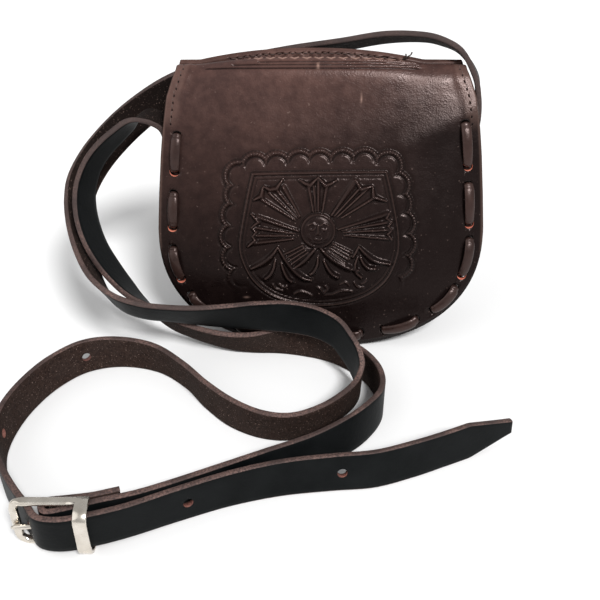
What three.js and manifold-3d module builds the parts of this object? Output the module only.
// A small leather saddle bag with a tooled flap, a laced flap edge and a long buckled strap.
// Units are millimetres and +Z is up. The origin is the middle of the bag's flat base, the
// flap faces -Y and the strap's two ends lie in loops in front of the bag.
import * as THREE from 'three';
import { mergeVertices } from 'three/addons/utils/BufferGeometryUtils.js';
import Module from 'manifold-3d';

const wasm = await Module();
wasm.setup();

// ---------------------------------------------------------------- driving dimensions
const GAP = 0.3;
const FLAP_THICK = 2.8;
const PANEL_THICK = 2.4;
const FLAP_STANDOFF = 2.7;

// The bag seen from the front: a superellipse below its widest line, a table above it.
const WIDE_Z = 68;
const BELLY_POWER = 2.25;
const FLAP_HALF_WIDTH = 90.3;
const BASE_SINK = 2;
const GUSSET_INSET = 4;
const GUSSET_TOP = 116;
const FRONT_PANEL_TOP = 118;
const BACK_TOP = 145.5;

// How much the bag narrows above its widest line, at heights measured along the flap.
const SIDE_TAPER = [
  { along: 70, inset: 0 },
  { along: 90, inset: 1 },
  { along: 110, inset: 2.6 },
  { along: 125, inset: 4.2 },
  { along: 142, inset: 6.4 },
  { along: 158, inset: 11.5 },
  { along: 180, inset: 13 },
];

// Side view of the flap's outer face, from its lower edge up and over the top fold.
const FLAP_PROFILE = [
  { y: -26, z: 1 },
  { y: -24.7, z: 17 },
  { y: -21.2, z: 34 },
  { y: -15.8, z: 51 },
  { y: -9, z: 69 },
  { y: -1, z: 87 },
  { y: 8, z: 105 },
  { y: 17, z: 122 },
  { y: 24.5, z: 134.5 },
  { y: 30, z: 142.5 },
  { y: 36, z: 146.5 },
  { y: 41, z: 144.5 },
  { y: 42, z: 137 },
];

// Side view of the back panel's outer face.
const BACK_PROFILE = [
  { z: 0, y: 23 },
  { z: 30, y: 33 },
  { z: 70, y: 40.5 },
  { z: 110, y: 44.6 },
  { z: 135, y: 44.8 },
  { z: 155, y: 44.8 },
];

// The sheet bends away from the flap's front towards its side edges.
const EDGE_CURL = 5;
const BACK_CURL = 3;

// The top fold and the back panel's lip rise in a shallow arch.
const ARCH = { middle: -5, halfSpan: 60, power: 2.2, fold: 3.3, lip: 6.5 };

const LACE = {
  width: 6, thick: 1.4, inset: 7, power: 2.5, lift: 1.3, bulge: 0.5, bend: 1.2,
};
const SLOT = { across: 7, along: 3 };
// Stitches of the edge lace, as distances along the flap's edge from its lowest point.
// Negative distances lie left of it.
const STITCHES = [
  { from: -173, to: -153 },
  { from: -141, to: -122 },
  { from: -110, to: -92 },
  { from: -81, to: -63 },
  { from: -50, to: -27 },
  { from: -15, to: 3 },
  { from: 13, to: 24 },
  { from: 36, to: 57 },
  { from: 67, to: 86 },
  { from: 94, to: 115 },
  { from: 124, to: 146 },
  { from: 156, to: 179 },
];

const STRAP = { width: 20, thick: 3, lift: 0.3, step: 5, foldStep: 1.6, tipLength: 25, tipWidth: 8 };
const STRAP_HOLE = { diameter: 4.8, stations: [757, 829, 970, 1044] };
const PRONG_HOLE = 3.4;

const BUCKLE = {
  x: -120.5,
  y: -167.8,
  z: 13.7,
  left: -18,
  right: 18,
  height: 26.8,
  rail: { high: 2.6, deep: 4.4 },
  endBar: { wide: 4, deep: 2.8 },
  heelBar: 3,
  keeper: { wide: 6, thick: 1.6, reach: 10.4, corner: 3.6 },
};
const PRONG = { radius: 1.05, length: 19.5 };

const LEATHER = { color: 0x2b1a16, roughness: 0.45, metalness: 0 };
const METAL = { color: 0xc9c6c0, roughness: 0.25, metalness: 1 };

// ---------------------------------------------------------------- curves and tables
// Straight lines between the rows of a table.
function lookUp(rows, key, value, at) {
  if (at <= rows[0][key]) return rows[0][value];
  for (let i = 1; i < rows.length; i++) {
    if (at <= rows[i][key]) {
      const share = (at - rows[i - 1][key]) / (rows[i][key] - rows[i - 1][key]);
      return THREE.MathUtils.lerp(rows[i - 1][value], rows[i][value], share);
    }
  }
  return rows.at(-1)[value];
}

function smoothCurve(points) {
  const curve = new THREE.CatmullRomCurve3(points, false, 'catmullrom', 0.5);
  curve.arcLengthDivisions = points.length * 20;
  return curve;
}

const flapCurve = smoothCurve(FLAP_PROFILE.map((row) => new THREE.Vector3(0, row.y, row.z)));
const FLAP_LENGTH = flapCurve.getLength();
const backCurve = smoothCurve(BACK_PROFILE.map((row) => new THREE.Vector3(0, row.y, row.z)));
const flapSamples = flapCurve.getSpacedPoints(240);
const backSamples = backCurve.getSpacedPoints(120);

function archAt(x) {
  const share = Math.abs(x - ARCH.middle) / ARCH.halfSpan;
  return share < 1 ? 1 - share ** ARCH.power : 0;
}

// Half the flap's width at a distance along the flap.
function flapHalfWidth(along) {
  return FLAP_HALF_WIDTH - lookUp(SIDE_TAPER, 'along', 'inset', along);
}

// The lower outline: height of the edge at a share of the half width, 0 at the middle.
function bellyRise(share) {
  return WIDE_Z * (1 - (1 - Math.min(1, Math.abs(share)) ** BELLY_POWER) ** (1 / BELLY_POWER));
}

// The edges bend away less near the top fold.
function curlFade(along) {
  return 1 - 0.75 * THREE.MathUtils.smoothstep(along, 85, 130);
}

// A point on the flap, at a depth below its outer face.
function flapPoint(x, along, depth) {
  const at = THREE.MathUtils.clamp(along / FLAP_LENGTH, 0, 1);
  const point = flapCurve.getPointAt(at);
  const tangent = flapCurve.getTangentAt(at);
  const outward = new THREE.Vector3(0, -tangent.z, tangent.y);
  const edge = Math.min(1.1, Math.abs(x) / flapHalfWidth(along));
  const curl = EDGE_CURL * edge ** 4 * curlFade(along);
  const rise = ARCH.fold * archAt(x) * THREE.MathUtils.smoothstep(along, 132, 158);
  point.addScaledVector(outward, -depth - curl);
  return point.add(new THREE.Vector3(x, 0, rise)).addScaledVector(tangent, Math.min(0, along));
}

// ---------------------------------------------------------------- the pouch's outline
// Half the pouch's width at a height, with the gusset's outer face at inset GUSSET_INSET.
function pouchHalfWidth(z, inset) {
  return FLAP_HALF_WIDTH - inset - lookUp(SIDE_TAPER, 'along', 'inset', z + 4);
}

// The pouch's outline as a path from the top left round the base to the top right.
// share runs from -1 to 1, with the base's middle at 0.
function pouchOutline(share, inset, top) {
  const sideShare = 0.3;
  const side = Math.sign(share) || 1;
  const away = Math.abs(share);
  if (away > 1 - sideShare) {
    const z = THREE.MathUtils.lerp(WIDE_Z, top, (away - 1 + sideShare) / sideShare);
    return { x: side * pouchHalfWidth(z, inset), z };
  }
  const turn = (away / (1 - sideShare)) * (Math.PI / 2);
  const across = Math.sin(turn) ** (2 / BELLY_POWER);
  const down = Math.cos(turn) ** (2 / BELLY_POWER);
  const z = WIDE_Z - BASE_SINK + inset - GUSSET_INSET - (WIDE_Z - 0) * down;
  const floor = Math.max(0, inset - GUSSET_INSET);
  const lift = BASE_SINK * THREE.MathUtils.smoothstep(away / (1 - sideShare), 0.6, 1);
  return { x: side * (FLAP_HALF_WIDTH - inset) * across, z: Math.max(floor, z + lift) };
}

function sampleY(samples, z, highest) {
  for (let i = 1; i < samples.length; i++) {
    if (samples[i].z >= z || samples[i].z >= highest) {
      const share = (z - samples[i - 1].z) / (samples[i].z - samples[i - 1].z);
      return THREE.MathUtils.lerp(samples[i - 1].y, samples[i].y, share);
    }
  }
  return samples.at(-1).y;
}

// The pouch's front face at a point of the front view, at a depth below the flap's outer face.
function frontY(x, z, depth) {
  const high = Math.max(1, z);
  const slope = sampleY(flapSamples, high + 1, 146) - sampleY(flapSamples, high, 146);
  const slant = Math.hypot(1, slope);
  const edge = Math.abs(x) / (pouchHalfWidth(Math.max(z, WIDE_Z), 0));
  return sampleY(flapSamples, high, 146) + (depth + EDGE_CURL * edge ** 4 * curlFade(z + 4)) * slant;
}

function backY(x, z) {
  const edge = Math.abs(x) / (pouchHalfWidth(Math.max(z, WIDE_Z), 0));
  return sampleY(backSamples, Math.max(0.01, z), 400) - BACK_CURL * edge ** 4 * curlFade(z);
}

// ---------------------------------------------------------------- solids
function closedGeometry(positions, index) {
  const geometry = new THREE.BufferGeometry();
  geometry.setAttribute('position', new THREE.Float32BufferAttribute(positions, 3));
  geometry.setIndex(index);
  return geometry;
}

// A thick sheet between two grids of points, face(i, j) and back(i, j).
function sheetSolid(columns, rows, face, back) {
  const positions = [];
  const index = [];
  const corner = (layer, i, j) => (layer * (rows + 1) + j) * (columns + 1) + i;
  for (const side of [face, back]) {
    for (let j = 0; j <= rows; j++) {
      for (let i = 0; i <= columns; i++) positions.push(...side(i, j).toArray());
    }
  }
  const quad = (a, b, c, d) => index.push(a, b, c, a, c, d);
  for (let j = 0; j < rows; j++) {
    for (let i = 0; i < columns; i++) {
      quad(corner(0, i, j), corner(0, i + 1, j), corner(0, i + 1, j + 1), corner(0, i, j + 1));
      quad(corner(1, i, j), corner(1, i, j + 1), corner(1, i + 1, j + 1), corner(1, i + 1, j));
    }
  }
  for (let i = 0; i < columns; i++) {
    quad(corner(0, i + 1, 0), corner(0, i, 0), corner(1, i, 0), corner(1, i + 1, 0));
    quad(corner(0, i, rows), corner(0, i + 1, rows), corner(1, i + 1, rows), corner(1, i, rows));
  }
  for (let j = 0; j < rows; j++) {
    quad(corner(0, 0, j), corner(0, 0, j + 1), corner(1, 0, j + 1), corner(1, 0, j));
    quad(corner(0, columns, j + 1), corner(0, columns, j), corner(1, columns, j),
      corner(1, columns, j + 1));
  }
  return closedGeometry(positions, index);
}

// A solid lofted through four-cornered sections, closed at both ends.
function barSolid(sections) {
  const positions = sections.flatMap((section) => section.flatMap((point) => point.toArray()));
  const index = [];
  for (let k = 0; k < sections.length - 1; k++) {
    for (let c = 0; c < 4; c++) {
      const a = k * 4 + c;
      const b = k * 4 + ((c + 1) % 4);
      index.push(a, b, b + 4, a, b + 4, a + 4);
    }
  }
  const last = (sections.length - 1) * 4;
  index.push(0, 2, 1, 0, 3, 2, last, last + 1, last + 2, last, last + 2, last + 3);
  return closedGeometry(positions, index);
}

function toManifold(geometry) {
  const bare = geometry.clone();
  bare.deleteAttribute('normal');
  bare.deleteAttribute('uv');
  const merged = mergeVertices(bare, 1e-4);
  return new wasm.Manifold(new wasm.Mesh({
    numProp: 3,
    vertProperties: new Float32Array(merged.attributes.position.array),
    triVerts: new Uint32Array(merged.index.array),
  }));
}

function fromManifold(solid) {
  const mesh = solid.getMesh();
  return closedGeometry(Array.from(mesh.vertProperties), Array.from(mesh.triVerts));
}

function cutAll(geometry, cutters) {
  return fromManifold(cutters.reduce((left, cutter) => left.subtract(toManifold(cutter)),
    toManifold(geometry)));
}

function joinAll(geometries) {
  return fromManifold(geometries.slice(1).reduce((sum, next) => sum.add(toManifold(next)),
    toManifold(geometries[0])));
}

const group = new THREE.Group();

function addPart(name, geometry, finish) {
  const mesh = new THREE.Mesh(geometry, new THREE.MeshStandardMaterial(finish));
  mesh.name = name;
  group.add(mesh);
  return mesh;
}

// ---------------------------------------------------------------- pouch: gusset and panels
const FRONT_DEPTH = FLAP_THICK + FLAP_STANDOFF;

function makeGusset() {
  const columns = 72;
  const rows = 5;
  const point = (i, j, inset) => {
    const { x, z } = pouchOutline((2 * i) / columns - 1, inset, GUSSET_TOP);
    const front = frontY(x, z, FRONT_DEPTH + PANEL_THICK) + GAP;
    const back = backY(x, z) - PANEL_THICK - GAP;
    return new THREE.Vector3(x, THREE.MathUtils.lerp(front, back, j / rows), z);
  };
  return sheetSolid(columns, rows, (i, j) => point(i, j, GUSSET_INSET + PANEL_THICK),
    (i, j) => point(i, j, GUSSET_INSET));
}

// A panel that closes the front or the back of the pouch, as a grid over its front view.
function makePanel(topAt, faceY, facing) {
  const columns = 24;
  const rows = 16;
  const point = (i, j, depth) => {
    const turn = ((i / columns) * 2 - 1) * (Math.PI / 2);
    const share = Math.sin(turn);
    const low = Math.max(0, bellyRise(share) - BASE_SINK * (1 - Math.abs(share) ** 8));
    const halfAt = (z) => pouchHalfWidth(Math.max(z, WIDE_Z), GUSSET_INSET);
    const high = topAt(share * halfAt(topAt(0)));
    const z = THREE.MathUtils.lerp(low, high, j / rows);
    const x = share * halfAt(z);
    return new THREE.Vector3(x, faceY(x, z, depth), z);
  };
  const outer = (i, j) => point(facing < 0 ? i : columns - i, j, 0);
  const inner = (i, j) => point(facing < 0 ? i : columns - i, j, PANEL_THICK);
  return sheetSolid(columns, rows, outer, inner);
}

addPart('gusset', makeGusset(), LEATHER);
addPart('front_panel', makePanel(() => FRONT_PANEL_TOP,
  (x, z, depth) => frontY(x, z, FRONT_DEPTH + depth), -1), LEATHER);
addPart('back_panel', makePanel((x) => BACK_TOP + ARCH.lip * archAt(x),
  (x, z, depth) => backY(x, z) - depth, 1), LEATHER);

// ---------------------------------------------------------------- flap and its edge lace
// The lace runs along the flap's outline, inset by LACE.inset, from the middle of its lower
// edge up each side. The path is sampled once and then looked up by its length.
function laceTrack() {
  const track = [];
  const halfWidth = FLAP_HALF_WIDTH - LACE.inset;
  const height = WIDE_Z - LACE.inset;
  const turns = 60;
  for (let i = 0; i <= turns; i++) {
    const turn = (i / turns) * (Math.PI / 2);
    const x = halfWidth * Math.sin(turn) ** (2 / LACE.power);
    track.push(new THREE.Vector3(x, WIDE_Z - height * Math.cos(turn) ** (2 / LACE.power), 0));
  }
  for (let along = WIDE_Z + 4; along <= 150; along += 4) {
    track.push(new THREE.Vector3(flapHalfWidth(along) - LACE.inset - 0.5, along, 0));
  }
  const curve = smoothCurve(track);
  curve.arcLengthDivisions = 1200;
  return curve;
}

const laceCurve = laceTrack();
const LACE_LENGTH = laceCurve.getLength();

// A point at a distance along the lace's track, an offset across it and a depth in the flap.
function lacePoint(distance, across, depth) {
  const at = THREE.MathUtils.clamp(Math.abs(distance) / LACE_LENGTH, 0, 1);
  const point = laceCurve.getPointAt(at);
  const tangent = laceCurve.getTangentAt(at);
  const side = distance < 0 ? -1 : 1;
  const x = side * (point.x + across * tangent.y);
  return flapPoint(x, point.y - across * tangent.x, depth);
}

// The round-ended slots that the lace passes through, as prisms through the flap.
function slotCutter(distance) {
  const sides = 12;
  const ring = (depth) => Array.from({ length: sides }, (_, k) => {
    const turn = ((k + 0.5) / sides) * Math.PI * 2;
    const straight = (SLOT.across - SLOT.along) / 2;
    const across = Math.cos(turn) * (SLOT.along / 2) + Math.sign(Math.cos(turn)) * straight;
    return lacePoint(distance + Math.sin(turn) * (SLOT.along / 2), across, depth);
  });
  const outer = ring(-1.5);
  const inner = ring(FLAP_THICK + 1.5);
  const positions = [...outer, ...inner].flatMap((point) => point.toArray());
  const index = [];
  for (let k = 0; k < sides; k++) {
    const next = (k + 1) % sides;
    index.push(k, next, sides + next, k, sides + next, sides + k);
  }
  for (let k = 1; k < sides - 1; k++) {
    index.push(0, k + 1, k, sides, sides + k, sides + k + 1);
  }
  const geometry = closedGeometry(positions, index);
  return toManifold(geometry).volume() > 0 ? geometry : flipped(geometry);
}

function flipped(geometry) {
  const turned = geometry.clone();
  const index = Array.from(turned.index.array);
  for (let k = 0; k < index.length; k += 3) [index[k], index[k + 1]] = [index[k + 1], index[k]];
  turned.setIndex(index);
  return turned;
}

const slotPlaces = STITCHES.flatMap((row) => [row.from, row.to]);

function makeFlap() {
  const columns = 32;
  const stations = [0, 0.07, 0.15, 0.23, 0.31, 0.39, 0.47, 0.55, 0.62, 0.69, 0.75, 0.8, 0.84,
    0.87, 0.895, 0.915, 0.935, 0.955, 0.975, 1];
  const point = (i, j, depth) => {
    const share = Math.sin(((i / columns) * 2 - 1) * (Math.PI / 2));
    const low = bellyRise(share);
    const along = THREE.MathUtils.lerp(low, FLAP_LENGTH, stations[j]);
    return flapPoint(share * flapHalfWidth(along), along, depth);
  };
  const sheet = sheetSolid(columns, stations.length - 1, (i, j) => point(i, j, 0),
    (i, j) => point(i, j, FLAP_THICK));
  return cutAll(sheet, slotPlaces.map(slotCutter));
}

// The lace's middle line as distance along the track and depth: over the flap for each
// stitch, down through a slot, under the flap to the next one.
function laceLine() {
  const over = -LACE.lift;
  const under = FLAP_THICK + LACE.lift;
  const line = [];
  const bendSteps = 3;
  const bend = (middle, depth, from, to) => {
    for (let k = 0; k <= bendSteps; k++) {
      const turn = THREE.MathUtils.degToRad(THREE.MathUtils.lerp(from, to, k / bendSteps));
      line.push([middle + LACE.bend * Math.cos(turn), depth + LACE.bend * Math.sin(turn)]);
    }
  };
  const tail = 12;
  line.push([STITCHES[0].from - tail, under]);
  for (const { from, to } of STITCHES) {
    bend(from - LACE.bend, under - LACE.bend, 90, 0);
    bend(from + LACE.bend, over + LACE.bend, 180, 270);
    for (const share of [0.25, 0.5, 0.75]) {
      const bulge = LACE.bulge * Math.sin(share * Math.PI);
      line.push([THREE.MathUtils.lerp(from, to, share), over - bulge]);
    }
    bend(to - LACE.bend, over + LACE.bend, 270, 360);
    bend(to + LACE.bend, under - LACE.bend, 180, 90);
  }
  line.push([STITCHES.at(-1).to + tail, under]);
  return line;
}

function makeLace() {
  const line = laceLine();
  const sections = line.map(([distance, depth], k) => {
    const [aheadDistance, aheadDepth] = line[Math.min(k + 1, line.length - 1)];
    const [behindDistance, behindDepth] = line[Math.max(k - 1, 0)];
    const run = new THREE.Vector2(aheadDistance - behindDistance, aheadDepth - behindDepth);
    run.normalize().multiplyScalar(LACE.thick / 2);
    const half = LACE.width / 2;
    return [
      lacePoint(distance + run.y, half, depth - run.x),
      lacePoint(distance + run.y, -half, depth - run.x),
      lacePoint(distance - run.y, -half, depth + run.x),
      lacePoint(distance - run.y, half, depth + run.x),
    ];
  });
  const geometry = barSolid(sections);
  return toManifold(geometry).volume() > 0 ? geometry : flipped(geometry);
}

addPart('flap', makeFlap(), LEATHER);
addPart('flap_lace', makeLace(), LEATHER);

// ---------------------------------------------------------------- straps
// A strap's end lies flat on the gusset's outer face, up its middle.
function seatRow(side, z) {
  const x = pouchHalfWidth(z, GUSSET_INSET) + GAP + STRAP.thick / 2 + 0.4;
  const front = frontY(x, z, FRONT_DEPTH + PANEL_THICK);
  const middle = (front + backY(x, z) - PANEL_THICK) / 2;
  return { x: side * x, y: middle, z, ux: 0, uy: -0.95, uz: 0.3 };
}

// Middle lines of the straps. ux, uy and uz point from the middle to the strap's upper edge,
// which is its front edge where the strap lies flat over the bag's top or on the gusset.
const LONG_STRAP = [
  seatRow(1, 74),
  seatRow(1, 90),
  seatRow(1, 106),
  { x: 87.5, y: 32.5, z: 118, ux: -0.1, uy: -0.95, uz: 0.3 },
  { x: 87.5, y: 36, z: 128, ux: -0.15, uy: -0.95, uz: 0.25 },
  { x: 85.5, y: 41, z: 138.5, ux: -0.2, uy: -0.95, uz: 0.25 },
  { x: 78, y: 46, z: 149, ux: -0.15, uy: -0.95, uz: 0.35 },
  { x: 68, y: 48.5, z: 154, ux: -0.1, uy: -0.9, uz: 0.4 },
  { x: 56, y: 51, z: 156, ux: -0.1, uy: -0.9, uz: 0.45 },
  { x: 36, y: 55, z: 154.5, ux: -0.1, uy: -0.85, uz: 0.5 },
  { x: 12, y: 59, z: 149, ux: -0.1, uy: -0.85, uz: 0.55 },
  { x: -12, y: 63, z: 143, ux: -0.1, uy: -0.75, uz: 0.65 },
  { x: -38, y: 65, z: 136.5, ux: -0.1, uy: -0.65, uz: 0.75 },
  { x: -64, y: 64.5, z: 130.5, ux: -0.1, uy: -0.5, uz: 0.85 },
  { x: -85, y: 61.5, z: 122.5, ux: -0.1, uy: -0.3, uz: 0.95 },
  { x: -102, y: 56, z: 112.5, ux: -0.22, uy: -0.05, uz: 0.97 },
  { x: -117, y: 48.5, z: 101.8, ux: -0.34, uy: 0.1, uz: 0.93 },
  { x: -130, y: 37.5, z: 90, ux: -0.44, uy: 0.1, uz: 0.89 },
  { x: -137.5, y: 24.5, z: 79.3, ux: -0.5, uy: 0.03, uz: 0.86 },
  { x: -138.5, y: 11, z: 70.5, ux: -0.5, uy: 0, uz: 0.86 },
  { x: -135.5, y: -4, z: 62, ux: -0.5, uy: -0.02, uz: 0.86 },
  { x: -129.5, y: -19, z: 53.3, ux: -0.47, uy: -0.15, uz: 0.87 },
  { x: -121.5, y: -31, z: 45.5, ux: -0.38, uy: -0.32, uz: 0.87 },
  { x: -110.5, y: -39, z: 40, ux: -0.24, uy: -0.45, uz: 0.86 },
  { x: -97.3, y: -42.3, z: 36.8, ux: -0.08, uy: -0.53, uz: 0.84 },
  { x: -81.4, y: -42, z: 34.5, ux: 0.04, uy: -0.55, uz: 0.83 },
  { x: -65.6, y: -41, z: 32.5, ux: 0.05, uy: -0.46, uz: 0.88 },
  { x: -49.7, y: -40, z: 31.5, ux: 0.03, uy: -0.3, uz: 0.95 },
  { x: -33.8, y: -39.3, z: 31.2, ux: 0.02, uy: -0.13, uz: 0.99 },
  { x: -18, y: -40, z: 30.9, ux: 0, uy: 0, uz: 1 },
  { x: -4, y: -43.5, z: 30.2, ux: 0, uy: 0, uz: 1 },
  { x: 6.9, y: -49, z: 27.8, ux: 0.05, uy: -0.05, uz: 1 },
  { x: 13.3, y: -55.3, z: 23.2, ux: 0.08, uy: -0.1, uz: 1 },
  { x: 17.8, y: -61.5, z: 17.6, ux: 0.08, uy: -0.12, uz: 1 },
  { x: 19.8, y: -68, z: 12.8, ux: 0.06, uy: -0.14, uz: 1 },
  { x: 18.6, y: -75.5, z: 10.3, ux: 0.02, uy: -0.18, uz: 0.98 },
  { x: 12.5, y: -85.5, z: 10, ux: 0, uy: -0.2, uz: 0.98 },
  { x: 0, y: -97.5, z: 10, ux: 0, uy: -0.16, uz: 0.99 },
  { x: -15.5, y: -104.6, z: 10, ux: 0, uy: -0.17, uz: 0.98 },
  { x: -31, y: -103, z: 10, ux: 0.04, uy: -0.15, uz: 0.99 },
  { x: -46.8, y: -94.2, z: 10, ux: 0.08, uy: -0.12, uz: 0.99 },
  { x: -61, y: -80.3, z: 10, ux: 0.03, uy: -0.14, uz: 0.99 },
  { x: -74, y: -64.2, z: 10, ux: -0.08, uy: -0.12, uz: 0.99 },
  { x: -91, y: -50, z: 10, ux: -0.08, uy: -0.06, uz: 1 },
  { x: -112, y: -44.5, z: 10, ux: -0.02, uy: 0, uz: 1 },
  { x: -131, y: -48.3, z: 10, ux: -0.03, uy: 0.12, uz: 0.99 },
  { x: -145.2, y: -61.8, z: 10, ux: -0.1, uy: 0.1, uz: 0.99 },
  { x: -154.5, y: -79, z: 10, ux: -0.14, uy: 0.05, uz: 0.99 },
  { x: -159.5, y: -97.5, z: 10.2, ux: -0.16, uy: 0.02, uz: 0.99 },
  { x: -159.5, y: -116, z: 11, ux: -0.12, uy: 0.02, uz: 0.99 },
  { x: -153.5, y: -133.5, z: 12.3, ux: -0.06, uy: 0.02, uz: 1 },
  { x: -145.8, y: -147.6, z: 13.4, ux: 0, uy: 0, uz: 1 },
  { x: -137.8, y: -158.7, z: 13.7, ux: 0, uy: 0, uz: 1 },
  { x: -130.7, y: -167, z: 13.7, ux: 0, uy: 0, uz: 1 },
  { x: -125, y: -174, z: 13.7, ux: 0, uy: 0, uz: 1 },
  { x: -116, y: -175.8, z: 13.7, ux: 0, uy: 0, uz: 1 },
  { x: -105, y: -173.6, z: 13.6, ux: 0, uy: 0, uz: 1 },
  { x: -88.2, y: -166.8, z: 12.2, ux: 0.06, uy: 0.02, uz: 1 },
  { x: -66.9, y: -155.8, z: 10.6, ux: 0.05, uy: 0.06, uz: 1 },
  { x: -44.2, y: -146, z: 10, ux: 0.03, uy: 0.09, uz: 1 },
  { x: -20.6, y: -139.3, z: 10, ux: 0, uy: 0.14, uz: 0.99 },
  { x: 3.4, y: -135.8, z: 10, ux: 0, uy: 0.18, uz: 0.98 },
  { x: 24, y: -133.5, z: 10, ux: 0, uy: 0.2, uz: 0.98 },
  { x: 43.2, y: -127, z: 10, ux: 0, uy: 0.18, uz: 0.98 },
  { x: 59, y: -120.3, z: 10, ux: 0, uy: 0.15, uz: 0.99 },
  { x: 76, y: -112.5, z: 10, ux: 0, uy: 0.15, uz: 0.99 },
  { x: 94, y: -104, z: 10, ux: -0.05, uy: 0.05, uz: 1 },
];

const SHORT_STRAP = [
  seatRow(-1, 74),
  seatRow(-1, 88),
  seatRow(-1, 102),
  { x: -88.3, y: 29, z: 114.5, ux: 0.05, uy: -0.98, uz: 0 },
  { x: -95, y: 28.5, z: 118.8, ux: 0.14, uy: -0.98, uz: 0.03 },
  { x: -101, y: 27.5, z: 118.2, ux: 0.12, uy: -0.95, uz: 0.28 },
  { x: -106.5, y: 25.5, z: 115.5, ux: 0.02, uy: -0.83, uz: 0.56 },
  { x: -113, y: 22.5, z: 110.8, ux: -0.07, uy: -0.79, uz: 0.61 },
  { x: -120.7, y: 18.8, z: 104.5, ux: -0.12, uy: -0.76, uz: 0.64 },
  { x: -126.8, y: 14.5, z: 97.5, ux: -0.18, uy: -0.75, uz: 0.63 },
  { x: -130.6, y: 9.5, z: 89.5, ux: -0.25, uy: -0.74, uz: 0.62 },
  { x: -132, y: 4, z: 81.5, ux: -0.32, uy: -0.75, uz: 0.57 },
  { x: -130.7, y: -3, z: 71.2, ux: -0.37, uy: -0.79, uz: 0.48 },
  { x: -126, y: -10.5, z: 59.8, ux: -0.36, uy: -0.84, uz: 0.42 },
  { x: -117.8, y: -17.5, z: 48.5, ux: -0.28, uy: -0.89, uz: 0.36 },
  { x: -108, y: -22.5, z: 37.5, ux: -0.12, uy: -0.91, uz: 0.4 },
  { x: -99.5, y: -24.8, z: 30, ux: 0, uy: -0.8, uz: 0.6 },
  { x: -92, y: -26.5, z: 23.7, ux: 0.05, uy: -0.67, uz: 0.74 },
  { x: -84, y: -27.4, z: 17.3, ux: 0.06, uy: -0.6, uz: 0.8 },
  { x: -75.4, y: -29.6, z: 14.2, ux: 0.08, uy: -0.6, uz: 0.8 },
  { x: -63.3, y: -33.8, z: 12.6, ux: 0.1, uy: -0.57, uz: 0.81 },
  { x: -51, y: -36, z: 11, ux: 0.1, uy: -0.5, uz: 0.86 },
  { x: -38, y: -35.6, z: 9.8, ux: 0.05, uy: -0.4, uz: 0.92 },
  { x: -24, y: -34, z: 9.9, ux: 0, uy: -0.2, uz: 0.98 },
  { x: -10, y: -35, z: 10, ux: 0, uy: -0.03, uz: 1 },
  { x: 4, y: -39.5, z: 10, ux: 0, uy: 0, uz: 1 },
  { x: 16, y: -47.8, z: 10, ux: 0, uy: 0, uz: 1 },
  { x: 25.5, y: -59, z: 10, ux: 0.02, uy: 0, uz: 1 },
  { x: 30.5, y: -72, z: 10, ux: 0.04, uy: 0, uz: 1 },
  { x: 30.3, y: -86, z: 10, ux: 0, uy: 0.03, uz: 1 },
  { x: 23.5, y: -98.5, z: 10, ux: -0.08, uy: 0.12, uz: 0.99 },
  { x: 11.5, y: -110.8, z: 10, ux: -0.12, uy: 0.18, uz: 0.98 },
  { x: -6, y: -122, z: 10, ux: -0.06, uy: 0.12, uz: 0.99 },
  { x: -29, y: -132, z: 10, ux: 0, uy: 0.05, uz: 1 },
  { x: -50, y: -142, z: 10.5, ux: 0, uy: 0, uz: 1 },
  { x: -68, y: -151.5, z: 11.6, ux: 0, uy: 0, uz: 1 },
  { x: -84, y: -159.5, z: 12.8, ux: 0, uy: 0, uz: 1 },
  { x: -100, y: -165, z: 13.6, ux: 0, uy: 0, uz: 1 },
  { x: -112, y: -169.2, z: 13.7, ux: 0, uy: 0, uz: 1 },
];

// The short strap's end turns round the buckle's heel bar and lies against its back.
function foldRows() {
  const radius = BUCKLE.heelBar / 2 + GAP + 0.2 + STRAP.thick / 2;
  const rows = [];
  for (const degrees of [280, 240, 205, 170, 130, 85]) {
    const turn = THREE.MathUtils.degToRad(degrees);
    rows.push({
      x: BUCKLE.x + radius * Math.cos(turn),
      y: BUCKLE.y + radius * Math.sin(turn),
      z: BUCKLE.z, ux: 0, uy: 0, uz: 1,
    });
  }
  rows.push({ x: -112, y: -163.2, z: 13.7, ux: 0, uy: 0, uz: 1 });
  rows.push({ x: -102.5, y: -161.3, z: 13.4, ux: 0, uy: 0, uz: 1 });
  rows.push({ x: -92, y: -157.7, z: 13, ux: 0, uy: 0, uz: 1 });
  return rows;
}

// A strap's frame at a distance from its start: middle, run, upper edge and face directions.
function strapLine(rows) {
  const middle = smoothCurve(rows.map((row) =>
    new THREE.Vector3(row.x, row.y, row.z + STRAP.lift)));
  const lean = smoothCurve(rows.map((row) => new THREE.Vector3(row.ux, row.uy, row.uz)));
  const length = middle.getLength();
  const frameAt = (distance) => {
    const share = THREE.MathUtils.clamp(distance / length, 0, 1);
    const parameter = middle.getUtoTmapping(share);
    const run = middle.getTangent(parameter);
    const up = lean.getPoint(parameter);
    up.addScaledVector(run, -up.dot(run)).normalize();
    return { middle: middle.getPoint(parameter), run, up, face: run.clone().cross(up) };
  };
  return { length, frameAt };
}

// One piece of a strap. Sections are closer together beyond foldStart.
function strapSolid(line, widthAt, piece, foldStart) {
  const stations = [];
  for (let at = piece.from; at < piece.to - 0.5;) {
    stations.push(at);
    at += at < foldStart ? STRAP.step : STRAP.foldStep;
  }
  stations.push(piece.to);
  const sections = [];
  for (const distance of stations) {
    const { middle, up, face } = line.frameAt(distance);
    const half = widthAt(distance) / 2;
    const corner = (across, out) => middle.clone().addScaledVector(up, across * half)
      .addScaledVector(face, (out * STRAP.thick) / 2);
    sections.push([corner(-1, -1), corner(-1, 1), corner(1, 1), corner(1, -1)]);
  }
  const geometry = barSolid(sections);
  return toManifold(geometry).volume() > 0 ? geometry : flipped(geometry);
}

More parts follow.
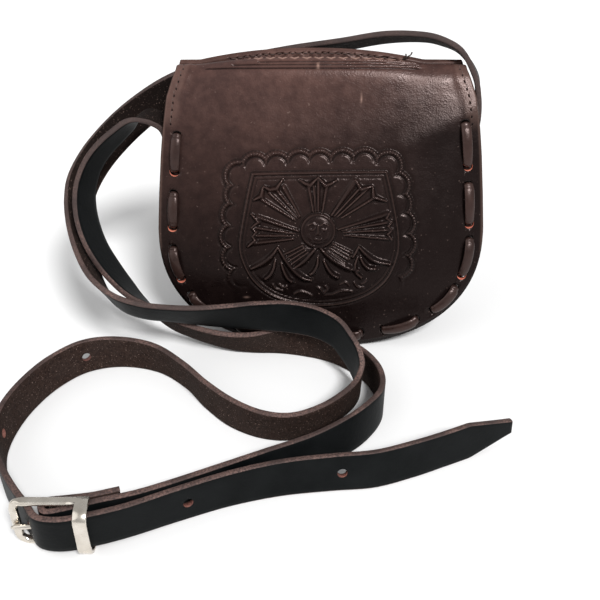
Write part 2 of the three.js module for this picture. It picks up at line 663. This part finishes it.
// A round bar between two points, as a cylinder.
function rodBetween(from, to, radius, sides) {
  const run = to.clone().sub(from);
  const rod = new THREE.CylinderGeometry(radius, radius, run.length(), sides);
  rod.applyQuaternion(new THREE.Quaternion().setFromUnitVectors(
    new THREE.Vector3(0, 1, 0), run.clone().normalize()));
  const middle = from.clone().add(to).multiplyScalar(0.5);
  return rod.translate(middle.x, middle.y, middle.z);
}

function holeCutter(line, distance) {
  const { middle, face } = line.frameAt(distance);
  const from = middle.clone().addScaledVector(face, -STRAP.thick);
  const to = middle.clone().addScaledVector(face, STRAP.thick);
  return rodBetween(from, to, STRAP_HOLE.diameter / 2, 16);
}

const prongY = BUCKLE.y - BUCKLE.endBar.deep / 2 - GAP - PRONG.radius;
const prongHinge = new THREE.Vector3(BUCKLE.x, prongY, BUCKLE.z);
const prongTip = new THREE.Vector3(BUCKLE.x - PRONG.length, prongY, BUCKLE.z);

// Each strap is made of solids that lie end to end, so that collision follows its loops.
function strapPieces(name, length, joints) {
  const ends = [0, ...joints.map((joint) => joint.at), length];
  const names = [...joints.map((joint) => joint.before), joints.at(-1).after];
  return names.map((part, k) => ({
    name: `${name}_${part}`,
    from: k === 0 ? 0 : ends[k] + GAP,
    to: ends[k + 1],
  }));
}

const longLine = strapLine(LONG_STRAP);
const longWidth = (distance) => {
  const tip = Math.max(0, distance - longLine.length + STRAP.tipLength) / STRAP.tipLength;
  return THREE.MathUtils.lerp(STRAP.width, STRAP.tipWidth, tip);
};
const longHoles = STRAP_HOLE.stations.map((distance) => holeCutter(longLine, distance));
longHoles.push(rodBetween(prongHinge, prongTip, PRONG_HOLE / 2, 16));
const longJoints = [
  { before: 'upper', at: 300, after: 'arc' },
  { before: 'arc', at: 520, after: 'loop' },
  { before: 'loop', at: 690, after: 'front' },
  { before: 'front', at: 925, after: 'tail' },
];
for (const piece of strapPieces('strap_long', longLine.length, longJoints)) {
  const solid = strapSolid(longLine, longWidth, piece, Infinity);
  addPart(piece.name, cutAll(solid, longHoles), LEATHER);
}

const shortLine = strapLine([...SHORT_STRAP, ...foldRows()]);
const prongSlot = new THREE.BoxGeometry(13, 16, 2 * PRONG.radius + 1.4);
prongSlot.translate(BUCKLE.x - 2, BUCKLE.y, BUCKLE.z);
const shortJoints = [
  { before: 'upper', at: 190, after: 'middle' },
  { before: 'middle', at: 370, after: 'lower' },
];
for (const piece of strapPieces('strap_short', shortLine.length, shortJoints)) {
  const solid = strapSolid(shortLine, () => STRAP.width, piece, shortLine.length - 50);
  addPart(piece.name, cutAll(solid, [prongSlot]), LEATHER);
}

// ---------------------------------------------------------------- buckle
function barBox(fromX, toX, deep, fromZ, toZ) {
  const box = new THREE.BoxGeometry(toX - fromX, deep, toZ - fromZ);
  return box.translate((fromX + toX) / 2, 0, (fromZ + toZ) / 2);
}

// The keeper is a band that stands out in front of the rails, round the strap's loose end.
function keeperBand() {
  const { wide, thick, reach, corner } = BUCKLE.keeper;
  const half = BUCKLE.height / 2;
  const outline = (inset) => {
    const shape = new THREE.Path();
    const edge = half - inset;
    const bendY = corner - reach;
    const bendZ = half - corner;
    const radius = corner - inset;
    shape.moveTo(BUCKLE.rail.deep / 2, -edge);
    shape.lineTo(bendY, -edge);
    shape.absarc(bendY, -bendZ, radius, -Math.PI / 2, -Math.PI, true);
    shape.lineTo(inset - reach, bendZ);
    shape.absarc(bendY, bendZ, radius, Math.PI, Math.PI / 2, true);
    shape.lineTo(BUCKLE.rail.deep / 2, edge);
    return shape.getPoints(5);
  };
  const ring = new THREE.Shape([...outline(0), ...outline(thick).reverse()]);
  const band = new THREE.ExtrudeGeometry(ring, { depth: wide, bevelEnabled: false });
  // The outline is drawn in depth and height, and extruded along the buckle's length.
  band.applyMatrix4(new THREE.Matrix4().makeBasis(new THREE.Vector3(0, 1, 0),
    new THREE.Vector3(0, 0, 1), new THREE.Vector3(1, 0, 0)));
  return band.translate(BUCKLE.right - wide, 0, 0);
}

function makeBuckleFrame() {
  const half = BUCKLE.height / 2;
  const { high, deep } = BUCKLE.rail;
  const heel = rodBetween(new THREE.Vector3(0, 0, -half + high / 2),
    new THREE.Vector3(0, 0, half - high / 2), BUCKLE.heelBar / 2, 16);
  return joinAll([
    barBox(BUCKLE.left, BUCKLE.right, deep, half - high, half),
    barBox(BUCKLE.left, BUCKLE.right, deep, -half, -half + high),
    barBox(BUCKLE.left, BUCKLE.left + BUCKLE.endBar.wide, BUCKLE.endBar.deep, -half, half),
    heel,
    keeperBand(),
  ]);
}

const frame = addPart('buckle_frame', makeBuckleFrame(), METAL);
frame.position.set(BUCKLE.x, BUCKLE.y, BUCKLE.z);

// The prong swings on the heel bar and its tip lies on the front of the end bar.
function makeProng() {
  const around = BUCKLE.heelBar / 2 + GAP + PRONG.radius;
  const ring = new THREE.TorusGeometry(around, PRONG.radius, 10, 24);
  const rod = rodBetween(new THREE.Vector3(0, prongY - BUCKLE.y, 0),
    new THREE.Vector3(-PRONG.length, prongY - BUCKLE.y, 0), PRONG.radius, 12);
  return joinAll([ring, rod]);
}

const prong = addPart('buckle_prong', makeProng(), METAL);
prong.position.set(BUCKLE.x, BUCKLE.y, BUCKLE.z);

export default group;
